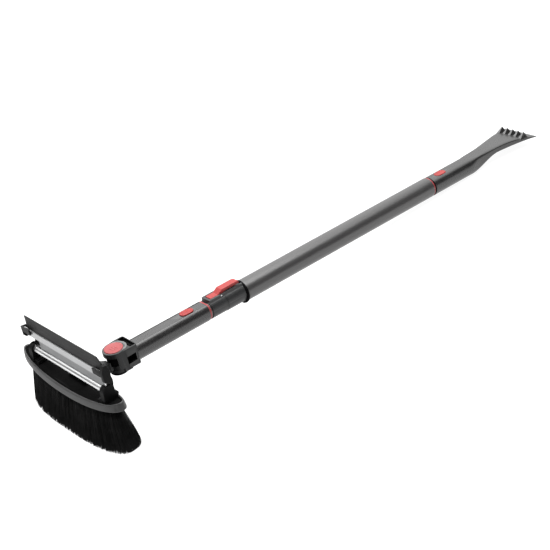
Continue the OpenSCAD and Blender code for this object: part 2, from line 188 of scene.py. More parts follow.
def new_object(name, solid, place):
    verts, faces = solid
    mesh = bpy.data.meshes.new(name)
    mesh.from_pydata([place @ Vector(p) for p in verts], [], faces)
    shape = bmesh.new()
    shape.from_mesh(mesh)
    bmesh.ops.recalc_face_normals(shape, faces=shape.faces)
    shape.to_mesh(mesh)
    shape.free()
    thing = bpy.data.objects.new(name, mesh)
    bpy.context.scene.collection.objects.link(thing)
    return thing


def combine(thing, others, operation):
    """Boolean of thing with plain solids, which are used up."""
    for other in others:
        modifier = thing.modifiers.new("cut", "BOOLEAN")
        modifier.operation = operation
        modifier.solver = "EXACT"
        modifier.object = other
    bpy.context.view_layer.update()
    evaluated = thing.evaluated_get(bpy.context.evaluated_depsgraph_get())
    mesh = bpy.data.meshes.new_from_object(evaluated)
    thing.modifiers.clear()
    thing.data = mesh
    for other in others:
        bpy.data.objects.remove(other)


def finish_piece(thing, material, nodes, bevel=0.0, angle=24, sharp=None):
    """Rounds the edges, smooths the shading, sets the material and ties the piece to its CAD nodes."""
    node = frame["nodes"][nodes[0]]
    mesh = thing.data
    mesh.materials.clear()
    mesh.materials.append(MATERIALS[material])
    for face in mesh.polygons:
        face.use_smooth = True
    if bevel:
        rounding = thing.modifiers.new("rounding", "BEVEL")
        rounding.width = bevel * MM
        rounding.segments = 3
        rounding.limit_method = "ANGLE"
        rounding.angle_limit = math.radians(angle)
    if sharp:
        mesh.set_sharp_from_angle(angle=math.radians(sharp))
    weighting = thing.modifiers.new("normals", "WEIGHTED_NORMAL")
    weighting.keep_sharp = bool(sharp)
    weighting.weight = 60
    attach(thing, node["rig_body"])
    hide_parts(*nodes)
    return thing


def rounded(node, bevel, material, angle=24):
    """A CAD node's own shape with its edges rounded."""
    source = bmesh.new()
    source.from_mesh(frame["nodes"][node].data)
    bmesh.ops.remove_doubles(source, verts=source.verts, dist=2e-6)
    bmesh.ops.dissolve_limit(source, angle_limit=math.radians(0.2), verts=source.verts, edges=source.edges)
    source.verts.index_update()
    solid = [tuple(v.co) for v in source.verts], [[v.index for v in f.verts] for f in source.faces]
    source.free()
    thing = new_object(node + "_shape", solid, Matrix.Identity(4))
    return finish_piece(thing, material, [node], bevel, angle)


# ---- materials ----

def new_material(name):
    material = bpy.data.materials.new(name)
    material.use_nodes = True
    return material, material.node_tree, material.node_tree.nodes["Principled BSDF"]


def coordinates(tree, scale=(1, 1, 1)):
    place = tree.nodes.new("ShaderNodeTexCoord")
    stretch = tree.nodes.new("ShaderNodeMapping")
    stretch.inputs["Scale"].default_value = scale
    tree.links.new(place.outputs["Object"], stretch.inputs["Vector"])
    return stretch.outputs["Vector"]


def noise_value(tree, vector, scale, detail=2.0, rough=0.5):
    texture = tree.nodes.new("ShaderNodeTexNoise")
    texture.inputs["Scale"].default_value = scale
    texture.inputs["Detail"].default_value = detail
    texture.inputs["Roughness"].default_value = rough
    tree.links.new(vector, texture.inputs["Vector"])
    return texture.outputs["Fac"]


def remap(tree, value, low, high, new_low=0.0, new_high=1.0):
    change = tree.nodes.new("ShaderNodeMapRange")
    for socket, number in zip(("From Min", "From Max", "To Min", "To Max"), (low, high, new_low, new_high)):
        change.inputs[socket].default_value = number
    tree.links.new(value, change.inputs["Value"])
    return change.outputs["Result"]


def arithmetic(tree, operation, a, b):
    node = tree.nodes.new("ShaderNodeMath")
    node.operation = operation
    for socket, value in zip(node.inputs, (a, b)):
        if isinstance(value, (int, float)):
            socket.default_value = value
        else:
            tree.links.new(value, socket)
    return node.outputs[0]


def mix_colour(tree, factor, a, b):
    node = tree.nodes.new("ShaderNodeMix")
    node.data_type = "RGBA"
    tree.links.new(factor, node.inputs["Factor"])
    for socket, value in ((node.inputs["A"], a), (node.inputs["B"], b)):
        if isinstance(value, tuple):
            socket.default_value = (*value, 1.0)
        else:
            tree.links.new(value, socket)
    return node.outputs["Result"]


def edge_wear(tree, start=0.53, full=0.62):
    """Mask of the outer edges, where handling polishes the surface."""
    geometry = tree.nodes.new("ShaderNodeNewGeometry")
    return remap(tree, geometry.outputs["Pointiness"], start, full)


def bump(tree, shader, height, strength, distance):
    node = tree.nodes.new("ShaderNodeBump")
    node.inputs["Strength"].default_value = strength
    node.inputs["Distance"].default_value = distance
    tree.links.new(height, node.inputs["Height"])
    tree.links.new(node.outputs["Normal"], shader.inputs["Normal"])


def moulded(name, dark, light, worn, roughness, grain=0.25, specular=0.5):
    """Moulded plastic: fine spark-eroded grain, faint clouding, light scratches and paler edges."""
    material, tree, shader = new_material(name)
    plain = coordinates(tree)
    fine = noise_value(tree, plain, 1500, 3, 0.6)
    cloud = noise_value(tree, plain, 28, 3, 0.55)
    scratch = noise_value(tree, coordinates(tree, (1, 9, 3)), 160, 4, 0.65)
    marks = remap(tree, scratch, 0.62, 0.74)
    base = mix_colour(tree, remap(tree, cloud, 0.3, 0.7), dark, light)
    base = mix_colour(tree, arithmetic(tree, "MULTIPLY", marks, 0.22), base, worn)
    base = mix_colour(tree, arithmetic(tree, "MULTIPLY", edge_wear(tree), 0.6), base, worn)
    tree.links.new(base, shader.inputs["Base Color"])
    rough = arithmetic(tree, "ADD", remap(tree, fine, 0.3, 0.7, roughness - 0.05, roughness + 0.05),
                       arithmetic(tree, "MULTIPLY", marks, 0.08))
    tree.links.new(rough, shader.inputs["Roughness"])
    shader.inputs["Specular IOR Level"].default_value = specular
    bump(tree, shader, fine, grain, 0.0002)
    return material


def painted(name, dark, light, worn, roughness):
    """Powder coat on a tube: orange peel, a little sparkle and long faint rub marks."""
    material, tree, shader = new_material(name)
    plain = coordinates(tree)
    peel = noise_value(tree, plain, 620, 2, 0.5)
    sparkle = noise_value(tree, plain, 2600, 2, 0.7)
    rub = noise_value(tree, coordinates(tree, (1, 26, 26)), 22, 5, 0.7)
    base = mix_colour(tree, remap(tree, sparkle, 0.35, 0.7), dark, light)
    base = mix_colour(tree, remap(tree, rub, 0.62, 0.85, 0, 0.35), base, worn)
    base = mix_colour(tree, arithmetic(tree, "MULTIPLY", edge_wear(tree), 0.5), base, worn)
    tree.links.new(base, shader.inputs["Base Color"])
    tree.links.new(remap(tree, rub, 0.3, 0.8, roughness - 0.05, roughness + 0.07), shader.inputs["Roughness"])
    height = arithmetic(tree, "ADD", peel, arithmetic(tree, "MULTIPLY", sparkle, 0.4))
    bump(tree, shader, height, 0.16, 0.0003)
    shader.inputs["Metallic"].default_value = 0.3
    shader.inputs["Specular IOR Level"].default_value = 0.85
    shader.inputs["Coat Weight"].default_value = 0.15
    shader.inputs["Coat Roughness"].default_value = 0.35
    return material


def drawn_metal(name, dark, light, roughness, grain_scale, strength=0.12):
    """Metal with fine lines along its length."""
    material, tree, shader = new_material(name)
    lines = noise_value(tree, coordinates(tree, grain_scale), 55, 4, 0.7)
    cloud = noise_value(tree, coordinates(tree), 22, 2, 0.5)
    share = arithmetic(tree, "MULTIPLY", lines, 0.65)
    value = arithmetic(tree, "ADD", share, arithmetic(tree, "MULTIPLY", cloud, 0.35))
    tree.links.new(mix_colour(tree, remap(tree, value, 0.35, 0.65), dark, light), shader.inputs["Base Color"])
    rough = remap(tree, lines, 0.3, 0.7, roughness - 0.07, roughness + 0.08)
    tree.links.new(rough, shader.inputs["Roughness"])
    shader.inputs["Metallic"].default_value = 1.0
    bump(tree, shader, lines, strength, 0.0002)
    return material


def rubbery(name, dark, light, roughness):
    """Matt rubber with a fine bloom and faint wipe lines."""
    material, tree, shader = new_material(name)
    bloom = noise_value(tree, coordinates(tree), 45, 4, 0.6)
    wipe = noise_value(tree, coordinates(tree, (30, 1, 30)), 30, 3, 0.6)
    fine = noise_value(tree, coordinates(tree), 1900, 2, 0.6)
    base = mix_colour(tree, remap(tree, bloom, 0.35, 0.7), dark, light)
    base = mix_colour(tree, arithmetic(tree, "MULTIPLY", edge_wear(tree, 0.52, 0.58), 0.35), base, light)
    tree.links.new(base, shader.inputs["Base Color"])
    rough = remap(tree, wipe, 0.3, 0.7, roughness - 0.06, roughness + 0.08)
    tree.links.new(rough, shader.inputs["Roughness"])
    shader.inputs["Specular IOR Level"].default_value = 0.15
    bump(tree, shader, arithmetic(tree, "ADD", fine, wipe), 0.1, 0.0002)
    return material


def fibre(name, dark, light, tip):
    """Synthetic bristle: each strand a slightly different black, paler towards the flagged tip."""
    material, tree, shader = new_material(name)
    strands = noise_value(tree, coordinates(tree, (1, 1, 0.06)), 420, 3, 0.6)
    clumps = noise_value(tree, coordinates(tree, (1, 1, 0.1)), 90, 2, 0.5)
    base = mix_colour(tree, remap(tree, strands, 0.35, 0.7), dark, light)
    place = tree.nodes.new("ShaderNodeTexCoord")
    split = tree.nodes.new("ShaderNodeSeparateXYZ")
    tree.links.new(place.outputs["Object"], split.inputs["Vector"])
    low = remap(tree, split.outputs["Z"], 0.012, 0.0)
    base = mix_colour(tree, arithmetic(tree, "MULTIPLY", low, 0.5), base, tip)
    tree.links.new(base, shader.inputs["Base Color"])
    tree.links.new(remap(tree, clumps, 0.3, 0.7, 0.5, 0.7), shader.inputs["Roughness"])
    shader.inputs["Specular IOR Level"].default_value = 0.14
    return material


LINES_ALONG_Y = (12, 0.4, 12)
LINES_ALONG_X = (0.4, 12, 12)
EVEN_LINES = (6, 6, 6)

MATERIALS = {
    "grey": moulded("grey_plastic", (0.013, 0.0128, 0.0128), (0.019, 0.0187, 0.0187), (0.09, 0.09, 0.09),
                    roughness=0.28, grain=0.2, specular=0.72),
    "rim": moulded("rim_plastic", (0.027, 0.027, 0.027), (0.038, 0.038, 0.038), (0.12, 0.12, 0.12),
                   roughness=0.42, grain=0.25, specular=0.3),
    "pale": moulded("pale_grey_plastic", (0.09, 0.093, 0.093), (0.12, 0.123, 0.123), (0.2, 0.2, 0.2),
                    roughness=0.38, grain=0.2, specular=0.45),
    "dark": moulded("dark_plastic", (0.010, 0.0105, 0.011), (0.015, 0.0155, 0.016), (0.05, 0.05, 0.05),
                    roughness=0.42, grain=0.22, specular=0.28),
    "collar": moulded("collar_plastic", (0.014, 0.0145, 0.015), (0.020, 0.0205, 0.021), (0.08, 0.08, 0.08),
                      roughness=0.36, grain=0.22, specular=0.4),
    "soot": moulded("soot_plastic", (0.005, 0.0051, 0.0053), (0.008, 0.0081, 0.0083), (0.04, 0.04, 0.04),
                    roughness=0.5, grain=0.22, specular=0.06),
    # black plastic, also laid in the pivot housing's hollows as painted shade
    "black": moulded("black_plastic", (0.0014, 0.0014, 0.0015), (0.0028, 0.0028, 0.003),
                     (0.012, 0.012, 0.012), roughness=0.62, grain=0.22, specular=0.03),
    # matt black of the block's deck, also laid on the head arm's end as painted shade
    "matt": moulded("matt_black_plastic_and_painted_shade", (0.0045, 0.0045, 0.0045), (0.0075, 0.0075, 0.0075),
                    (0.02, 0.02, 0.02), roughness=0.85, grain=0.2, specular=0.0),
    # the paler red is the deeper red with a painted sheen, for the round button and the seals
    "red": moulded("red_plastic", (0.24, 0.028, 0.030), (0.29, 0.038, 0.040), (0.45, 0.12, 0.12),
                   roughness=0.42, grain=0.12, specular=0.45),
    "red_deep": moulded("red_plastic_deep", (0.25, 0.015, 0.014), (0.30, 0.022, 0.020), (0.45, 0.09, 0.085),
                        roughness=0.42, grain=0.12, specular=0.36),
    "paint": painted("tube_paint", (0.041, 0.040, 0.040), (0.057, 0.056, 0.056), (0.13, 0.13, 0.13),
                     roughness=0.33),
    # painted shade and painted light: the rail's web, channel and bead are one aluminium, given as a dark, a
    # middle and a pale copy
    "aluminium": drawn_metal("aluminium_web_painted_shade", (0.15, 0.153, 0.155), (0.23, 0.233, 0.236),
                             roughness=0.36, grain_scale=LINES_ALONG_Y),
    "aluminium_channel_painted_light": drawn_metal("aluminium_channel_painted_light", (0.32, 0.323, 0.326), (0.42, 0.423, 0.426),
                                     roughness=0.32, grain_scale=LINES_ALONG_Y),
    "aluminium_bead_painted_highlight": drawn_metal("aluminium_bead_painted_highlight", (0.68, 0.683, 0.686), (0.84, 0.843, 0.846),
                                    roughness=0.32, grain_scale=LINES_ALONG_Y),
    "aluminium_pole": drawn_metal("aluminium_pole", (0.28, 0.282, 0.285), (0.38, 0.382, 0.385),
                                  roughness=0.38, grain_scale=LINES_ALONG_X),
    "steel": drawn_metal("plain_steel", (0.45, 0.45, 0.46), (0.66, 0.66, 0.68),
                         roughness=0.32, grain_scale=EVEN_LINES, strength=0.08),
    "blackened": drawn_metal("blackened_steel", (0.02, 0.02, 0.022), (0.035, 0.035, 0.037),
                             roughness=0.4, grain_scale=EVEN_LINES, strength=0.08),
    "rubber": rubbery("blade_rubber", (0.004, 0.004, 0.004), (0.009, 0.009, 0.009), roughness=0.5),
    "fibre": fibre("bristle_fibre", (0.0015, 0.0015, 0.0015), (0.0035, 0.0034, 0.0034),
                   (0.006, 0.0057, 0.0057)),
}


# ---- brush ----

RIM_HALF_LENGTH = 123.0
RIM_HALF_DEPTH = 21.5
RIM_RISE = 12.0
RIM_WALL = 5.0
OVAL_EXPONENT = 2.35
OVAL_POWER = 2 / OVAL_EXPONENT
SMILE_RADIUS = (RIM_HALF_LENGTH ** 2 + RIM_RISE ** 2) / (2 * RIM_RISE)


def oval(angle, half_length, half_depth):
    """Point of the rim's oval outline; angle 0 points along X, towards the handle."""
    return half_depth * power(math.cos(angle), OVAL_POWER), half_length * power(math.sin(angle), OVAL_POWER)


def smile(y):
    """Rise of the brush's underside towards its ends."""
    return SMILE_RADIUS - math.sqrt(max(0.0, SMILE_RADIUS ** 2 - y * y))


def rim():
    """Sloped band with a rolled top edge, raised ears at both ends and a finger notch beside each ear."""
    # outline of (inset, height)
    section = [(0.9, 0.0), (0.2, 0.35), (0.0, 1.1), (0.25, 3.2), (0.75, 6.2), (1.35, 9.0), (1.75, 10.2),
               (2.35, 10.85), (3.1, 11.0), (4.2, 10.9), (4.8, 10.4), (RIM_WALL, 9.6), (RIM_WALL, 0.6),
               (4.6, 0.1), (4.0, 0.0)]
    rings = []
    for angle in full_turn(240):
        ear = ease((abs(math.sin(angle)) - 0.86) / 0.12)
        notch = math.exp(-((abs(math.sin(angle)) - 0.955) / 0.018) ** 2) * (math.cos(angle) < 0)
        ring = []
        for inset, height in section:
            x, y = oval(angle, RIM_HALF_LENGTH - inset, RIM_HALF_DEPTH - inset)
            lift = height * (1 + 0.16 * ear)
            dent = 1.3 * notch * math.exp(-((height - 5.5) / 3.2) ** 2) * (inset < 2)
            x, y = x * (1 - dent / RIM_HALF_DEPTH), y * (1 - dent / RIM_HALF_LENGTH)
            ring.append((x, y, lift + smile(y)))
        rings.append(ring)
    thing = new_object("block_rim_band", loft(rings, closed=True), BRUSH)
    finish_piece(thing, "rim", ["block_rim"])


def deck():
    """Block inside the rim: its side wall and its dished top."""
    clearance = 0.05
    half_length = RIM_HALF_LENGTH - RIM_WALL - clearance
    half_depth = RIM_HALF_DEPTH - RIM_WALL - clearance
    foot, top, dish = 0.5, 8.0, 1.6
    levels = [(1.0, foot)]
    for part in (1.0, 0.985, 0.96, 0.9, 0.8, 0.68, 0.56, 0.44, 0.32, 0.2, 0.1, 0.03):
        levels.append((part, top - dish * ease((1 - part) / 0.3)))
    rings = []
    for part, height in levels:
        points = [oval(angle, half_length * part, half_depth * part) for angle in full_turn(120)]
        rings.append([(x, y, height + smile(y)) for x, y in points])
    thing = new_object("brush_block_deck", loft(rings), BRUSH)
    finish_piece(thing, "matt", ["brush_block"], sharp=40)


def bristles():
    """Tufts of tapered three-sided strands that splay towards jagged tips, round a dark inner mass."""
    draw = random.Random(7)
    tip_half_length, tip_half_depth = 118.8, 31.2
    root_half_length, root_half_depth = 105.0, 14.6
    verts, faces = [], []

    def strand(root, tip, bow, width):
        levels = 4
        first = len(verts)
        for level in range(levels + 1):
            t = level / levels
            centre = root.lerp(tip, t) + bow * (4 * t * (1 - t))
            radius = width * (1 - 0.4 * t ** 2.5)
            for turn in full_turn(3):
                a = turn + t
                verts.append((centre.x + radius * math.cos(a), centre.y + radius * math.sin(a), centre.z))
        for level in range(levels):
            a, b = first + 3 * level, first + 3 * level + 3
            faces.extend((a + i, a + (i + 1) % 3, b + (i + 1) % 3, b + i) for i in range(3))
        faces.append((first + 2, first + 1, first))
        faces.append((len(verts) - 3, len(verts) - 2, len(verts) - 1))

    def tuft(u, v, strands, spread):
        root_x, root_y = root_half_depth * u, root_half_length * v
        lean = draw.gauss(0, 0.6), draw.gauss(0, 0.9)
        for _ in range(strands):
            dx, dy = draw.gauss(0, 0.55), draw.gauss(0, 0.55)
            root = Vector((root_x + dx, root_y + dy, smile(root_y) - 0.2))
            tip_x = tip_half_depth * u + lean[0] + dx * spread
            tip_y = tip_half_length * v + lean[1] + dy * spread
            # tips outside the fringe's outline are drawn back to it
            reach = (abs(tip_x) / (tip_half_depth + 0.1)) ** 2.8 + (abs(tip_y) / tip_half_length) ** 2.8
            if reach > 1:
                pull = reach ** -0.357
                tip_x, tip_y = tip_x * pull, tip_y * pull
            short = abs(draw.gauss(0, 0.7)) + (draw.random() < 0.06) * draw.uniform(1, 3)
            tip = Vector((tip_x, tip_y, -PIVOT_HEIGHT + 0.15 + short))
            bow = Vector((draw.gauss(0, 0.5), draw.gauss(0, 0.5), 0))
            strand(root, tip, bow, draw.uniform(0.28, 0.42))

    for ring, part in enumerate((1.0, 0.88, 0.74)):
        count = int(158 * part)
        for k in range(count):
            angle = 2 * math.pi * (k + 0.5 * (ring % 2)) / count
            x, y = oval(angle, part, part)
            tuft(x, y, strands=22 if ring == 0 else 14, spread=2.6)
    for row in range(-2, 3):
        for k in range(-14, 15):
            u, v = row * 0.24, k * 0.05 + (row % 2) * 0.025
            if abs(u) ** OVAL_EXPONENT + abs(v) ** OVAL_EXPONENT < 0.4:
                tuft(u, v, strands=8, spread=3.2)
    thing = new_object("bristle_strands", (verts, faces), BRUSH)
    for face in thing.data.polygons:
        face.use_smooth = True
    thing.data.materials.append(MATERIALS["fibre"])
    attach(thing, "brush_head")
    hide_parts("bristles")

    # the mass's top follows the block's curved underside, and its wavy side stays behind the strands
    sunk, foot = 0.4, -PIVOT_HEIGHT + 1.0
    rings = []
    for part in (0.04, 0.2, 0.4, 0.6, 0.8):
        half_length, half_depth = root_half_length * 0.975 * part, root_half_depth * 0.93 * part
        points = [oval(angle, half_length, half_depth) for angle in full_turn(96)]
        rings.append([(x, y, smile(y) - sunk) for x, y in points])
    for level in range(9):
        t = level / 8
        half_length = blend(root_half_length, tip_half_length - 1.5, t) * 0.98
        half_depth = blend(root_half_depth, tip_half_depth - 0.8, t) * 0.955
        ring = []
        for angle in full_turn(96):
            wave = 1 - 0.03 * noise.noise((math.cos(angle) * 9, math.sin(angle) * 9, t * 2))
            x, y = oval(angle, half_length * wave, half_depth * wave)
            ring.append((x, y, blend(smile(y) - sunk, foot, t)))
        rings.append(ring)
    core = new_object("bristle_core", loft(rings), BRUSH)
    finish_piece(core, "fibre", ["bristles"])


rim()
deck()
bristles()


# ---- squeegee ----

BEAD_Z = 31.0
BEAD_RADIUS = 5.6
RAIL_TOP = 66.0
RAIL_HALF_LENGTH = 99.0
BEAD_HALF_LENGTH = 93.0
WEB_END = 69.0


def rail():
    """Extrusion: a grooved bead, a thin web with a recess at its foot, and a channel with inward lips."""
    web = 1.0
    bead_top = 36.5
    root = math.degrees(math.acos(web / BEAD_RADIUS))
    outline = arc(0, BEAD_Z, BEAD_RADIUS, root, -232, 46)
    # the groove along the bead's upper front
    outline += [(-3.1, 34.6), (-3.35, 35.45)]
    outline += arc(0, BEAD_Z, BEAD_RADIUS, 118, 180 - root, 4)
    outline += [(-web, 38.0), (-web, 55.0), (web, 55.0), (web, 38.0)]
    bead = new_object("squeegee_rail_bead", across(outline, -BEAD_HALF_LENGTH, BEAD_HALF_LENGTH, 24), BRUSH)
    recess = []
    for x in (-0.5, -4.5):
        recess.append([(x, 56.5 + 10.5 * math.cos(a), 37.2 + 0.75 * math.sin(a)) for a in full_turn(24)])
    # the web stops short of the left bracket
    gap = across([(-5, 36.8), (5, 36.8), (5, 54.05), (-5, 54.05)], WEB_END, 110)
    combine(bead, [new_object("recess", loft(recess), BRUSH), new_object("gap", gap, BRUSH)], "DIFFERENCE")
    # painted shade: the web gets the darkest copy of the rail's aluminium
    finish_piece(bead, "aluminium", ["squeegee_rail"], sharp=30)
    # the round bead is brighter than the web
    # painted highlight: the round bead gets the palest copy of the rail's aluminium, standing in for the top
    # light on it
    bead.data.materials.append(MATERIALS["aluminium_bead_painted_highlight"])
    for face in bead.data.polygons:
        face.material_index = int((BRUSH.inverted() @ face.center).z < bead_top)

    corner, top = 0.7, RAIL_TOP - 0.7
    lip, pocket = 1.7, 2.6
    outline = arc(-2.9, 54.7, corner, 270, 180, 3) + arc(-2.9, top, corner, 180, 90, 3)
    outline += [(-lip, RAIL_TOP), (-lip, 61.2), (-pocket, 61.2), (-pocket, 57)]
    outline += [(pocket, 57), (pocket, 61.2), (lip, 61.2), (lip, RAIL_TOP)]
    outline += arc(2.9, top, corner, 90, 0, 3) + arc(2.9, 54.7, corner, 0, -90, 3)
    prism = across(outline, -RAIL_HALF_LENGTH, RAIL_HALF_LENGTH, 24)
    channel = new_object("squeegee_rail_channel", prism, BRUSH)
    # painted light: the channel gets a paler copy of the rail's aluminium than the web
    finish_piece(channel, "aluminium_channel_painted_light", ["squeegee_rail"], sharp=30)


def rubber_blade():
    """Blade with a bulb in the channel, a thick root, a thinner lip and one bevelled corner."""
    lip_end, lip_root, bevel_start = 86.0, 70, 91.0
    half = [(0.7, lip_end), (0.82, 85.7), (1.0, 80), (1.25, 74), (1.6, lip_root), (1.75, 68.2), (1.95, 67.6),
            (1.95, 66.5), (1.6, 66.1), (1.6, 61.0), (2.5, 60.8), (2.5, 57.2)]
    outline = [(-x, z) for x, z in half] + [(x, z) for x, z in reversed(half)]
    stations = [91.0, 90.7] + [blend(90, -88, k / 30) for k in range(31)]
    stations += [-88.0 - k for k in range(1, 10)] + [-98.2, -98.6]
    rings = []
    for y in stations:
        cut = lip_end - max(0.0, -y - bevel_start) * 0.98
        left = (cut - lip_root) / (lip_end - lip_root)
        rings.append([(x, y, z if z < lip_root else blend(lip_root, z, left)) for x, z in outline])
    thing = new_object("squeegee_rubber_blade", loft(rings), BRUSH)
    finish_piece(thing, "rubber", ["squeegee_rubber"], sharp=30)


rail()
rubber_blade()
for side in ("left", "right"):
    rounded(f"bracket_{side}", 0.8, "soot")
    rounded(f"rail_cap_{side}", 0.9, "soot")
rounded("bracket_screws", 0.25, "blackened")


# ---- pivot ----

def round_button():
    """Round push button with a rolled edge, a finger dish and three low grip ribs."""
    profile = [(0.01, 17), (13.5, 17), (13.9, 17.3), (13.9, 21.5), (13.75, 21.95), (13.4, 22.2), (12.6, 22.2),
               (12.1, 22.05), (11.6, 21.85), (9, 21.7), (6, 21.6), (3, 21.55), (0.01, 21.55)]
    ribs = []
    for k in (-1, 0, 1):
        outline = [slot_point(angle, 12 - 2 * abs(k), 1.5) for angle in full_turn(40)]
        row = k * 3.6
        rings = []
        for part, z in ((1, 21.3), (1, 21.75), (0.93, 21.95), (0.7, 22.0)):
            rings.append([(row + y * part, x * part, z) for x, y in outline])
        ribs.append(loft(rings))
    thing = new_object("pivot_button_disc", joined(lathe_up(profile), *ribs), HEAD)
    # painted sheen: the disc gets the paler red
    finish_piece(thing, "red", ["pivot_button"], sharp=50)


def housing():
    """Pivot housing; the insides of its pocket, windows and drum room get black as painted shade."""
    thing = rounded("pivot_housing", 0.8, "dark", angle=20)
    thing.data.materials.append(MATERIALS["black"])
    inward = HEAD.inverted()
    for face in thing.data.polygons:
        x, y, z = inward @ face.center
        normal = face.normal
        # painted shade: faces inside the pocket, the windows and the drum room are marked for the black
        pocket = 17.5 < x < 26.7 and abs(y) < 15.9 and z > 8.5 and not (normal.z > 0.5 and z > 16)
        window = 7.4 < x < 22.6 and abs(y) < 17.5 and -4.1 < z < 8.1
        room = math.hypot(x, y) < 14.5 and normal.x * x + normal.y * y < 0
        if pocket or window or room:
            face.material_index = 1


def crescent():
    """Raised grey crescent between the button and the pole, widest in its middle."""
    drop = math.tan(math.radians(2.9))
    rings = []
    for k in range(41):
        angle = math.radians(blend(-78, 78, k / 40))
        reach = 14.5 + 5.4 * math.cos(angle * 1.12) ** 0.8
        section = [(14.3, 19.6), (14.3, 21.2), (14.7, 21.45), (blend(14.7, reach, 0.5), 21.4),
                   (reach - 0.4, 21.1), (reach, 20.6), (reach, 17.4)]
        ring = []
        for r, z in section:
            x, y = r * math.cos(angle), r * math.sin(angle)
            ring.append((x, y, z - max(0.0, x - 8) * drop * 0.8))
        rings.append(ring)
    thing = new_object("pivot_ring_crescent", loft(rings), HEAD)
    finish_piece(thing, "pale", ["pivot_ring"], sharp=40)


round_button()
housing()
crescent()
rounded("pivot_ring", 0.25, "grey")
rounded("pivot_cap", 0.8, "black")
rounded("pivot_axle", 0.3, "steel")
rounded("lock_gear", 0.2, "black")
rounded("knuckle_drum", 0.5, "black")
arm = rounded("head_arm", 1.1, "dark")
arm.data.materials.append(MATERIALS["matt"])
arm_end_x = -42
for face in arm.data.polygons:
    # painted shade: its end on the block gets the block's matt black, standing in for the shade inside the
    # rim
    face.material_index = int((HEAD.inverted() @ face.center).x < arm_end_x)
rounded("arm_screws", 0.3, "blackened")


# ---- neck ----

SHELL_LIFT = 1.6
SHELL_RADIUS = 16.2
LAND_HEIGHT = 14.5
LAND_HALF_WIDTH = 9.3
NECK_BUTTON_X = 129
SCRAPER_BUTTON_X = 679


def flat_round(x, radius, flat, half_width):
    """Cross-section of the neck: round, with a flat land on top between grooves and fine ridges."""
    start = math.degrees(math.asin(half_width / radius)) + 1.0
    ring = arc(0, SHELL_LIFT, radius, 90 + start, 450 - start, 73)
    edge = [(half_width, flat + 0.25), (half_width - 0.35, flat + 0.42), (half_width - 0.7, flat + 0.3),
            (half_width - 0.85, flat - 0.45), (half_width - 1.35, flat - 0.45),
            (half_width - 1.5, flat - 0.05), (half_width - 1.9, flat)]
    ring += edge + [(0.0, flat + 0.05)] + [(-y, z) for y, z in reversed(edge)]
    return [(x, y, z) for y, z in ring]


def window_cutter(x):
    """Upright oval cutter for the window that an oval button sits in."""
    outline = [slot_point(angle, 23.6, 14.6) for angle in full_turn(72)]
    rings = [[(x + px, py, z) for px, py in outline] for z in (0, 30)]
    return new_object("cutter", loft(rings), POLE)


def bore_cutter(start, end, radius, top=math.inf):
    """Round cutter along the pole, flat above the height top."""
    rings = []
    for x in (start, end):
        rings.append([(x, radius * math.cos(a), min(top, radius * math.sin(a))) for a in full_turn(64)])
    return new_object("cutter", loft(rings), POLE)


def neck():
    """Neck tube with a flat land on top and a window for the button."""
    stations = [(24, 0.6), (24.6, 0.0)] + [(blend(30, 155, k / 14), 0.0) for k in range(15)]
    stations += [(159.2, 0.0), (159.8, 0.25), (160, 0.8)]
    rings = []
    for x, inset in stations:
        rings.append(flat_round(x, SHELL_RADIUS - inset, LAND_HEIGHT - inset, LAND_HALF_WIDTH))
    thing = new_object("neck_shell", loft(rings), POLE)
    combine(thing, [bore_cutter(40, 162, 13), window_cutter(NECK_BUTTON_X)], "DIFFERENCE")
    finish_piece(thing, "grey", ["neck_tube"], sharp=32)


def oval_button(name, node, x, top, depth, ribbed):
    """Oval push button with a rolled edge, and either grip ribs on a crown or a shallow dish."""
    face, rib_pitch = 0.9, 2.7
    levels = [(1.0, -depth), (1.0, -0.75), (0.985, -0.35), (0.95, -0.1), (face, 0.0)]
    levels += [(face - 0.05 * k, 0.0) for k in range(1, 18)]
    rings = []
    for part, drop in levels:
        ring = []
        for angle in full_turn(96):
            px, py = slot_point(angle, max(23 * part, 9.2), 14 * part)
            if part <= 0.4:
                px *= part / 0.4
            height = top + drop
            if ribbed and part <= face:
                fade = ease((9.8 - abs(px)) / 1.5) * ease((5.6 - abs(py)) / 1.2)
                height -= 0.55 * fade * (0.5 + 0.5 * math.cos(2 * math.pi * px / rib_pitch)) ** 2
            if part < face:
                height += 0.35 * (1 - part) if ribbed else -0.45 * (face - part)
            ring.append((x + px, py, height))
        rings.append(ring)
    thing = new_object(name, loft(rings), POLE)
    finish_piece(thing, "red_deep", [node], sharp=60)


neck()
oval_button("neck_button_pad", "neck_button", NECK_BUTTON_X, top=16.2, depth=5.8, ribbed=True)
# painted sheen: the seal gets the paler red
rounded("neck_seal", 0.5, "red")
rounded("inner_pole", 0.25, "aluminium_pole", angle=30)
rounded("pole_bush", 0.3, "black")


# ---- handle ----

def tube():
    """Painted tube with rounded ends."""
    inner, outer = 15.5, 17
    profile = [(234, inner), (234, 16.5), (234.2, 16.85), (234.6, outer)]
    profile += [(blend(238, 643, k / 20), outer) for k in range(21)]
    profile += [(646.4, outer), (646.8, 16.85), (647, 16.5), (647, inner)]
    thing = new_object("outer_tube_skin", lathe_along(profile), POLE)
    finish_piece(thing, "paint", ["outer_tube"], sharp=50)


tube()
rounded("collar_front", 0.7, "collar")
rounded("collar_rear", 0.7, "collar")
rounded("collar_ring", 1.2, "black")
rounded("latch_lever", 0.9, "red_deep")
rounded("lever_pin", 0.2, "steel")
# painted sheen: the seal gets the paler red
rounded("scraper_seal", 0.5, "red")
rounded("scraper_spigot", 0.5, "black")


# ---- scraper ----

BLADE_END = 892.0
BLADE_HALF_WIDTH = 36.0
SOCKET_START = 652.0
SOCKET_RADIUS = 17.0
SOCKET_FLAT = 13.6


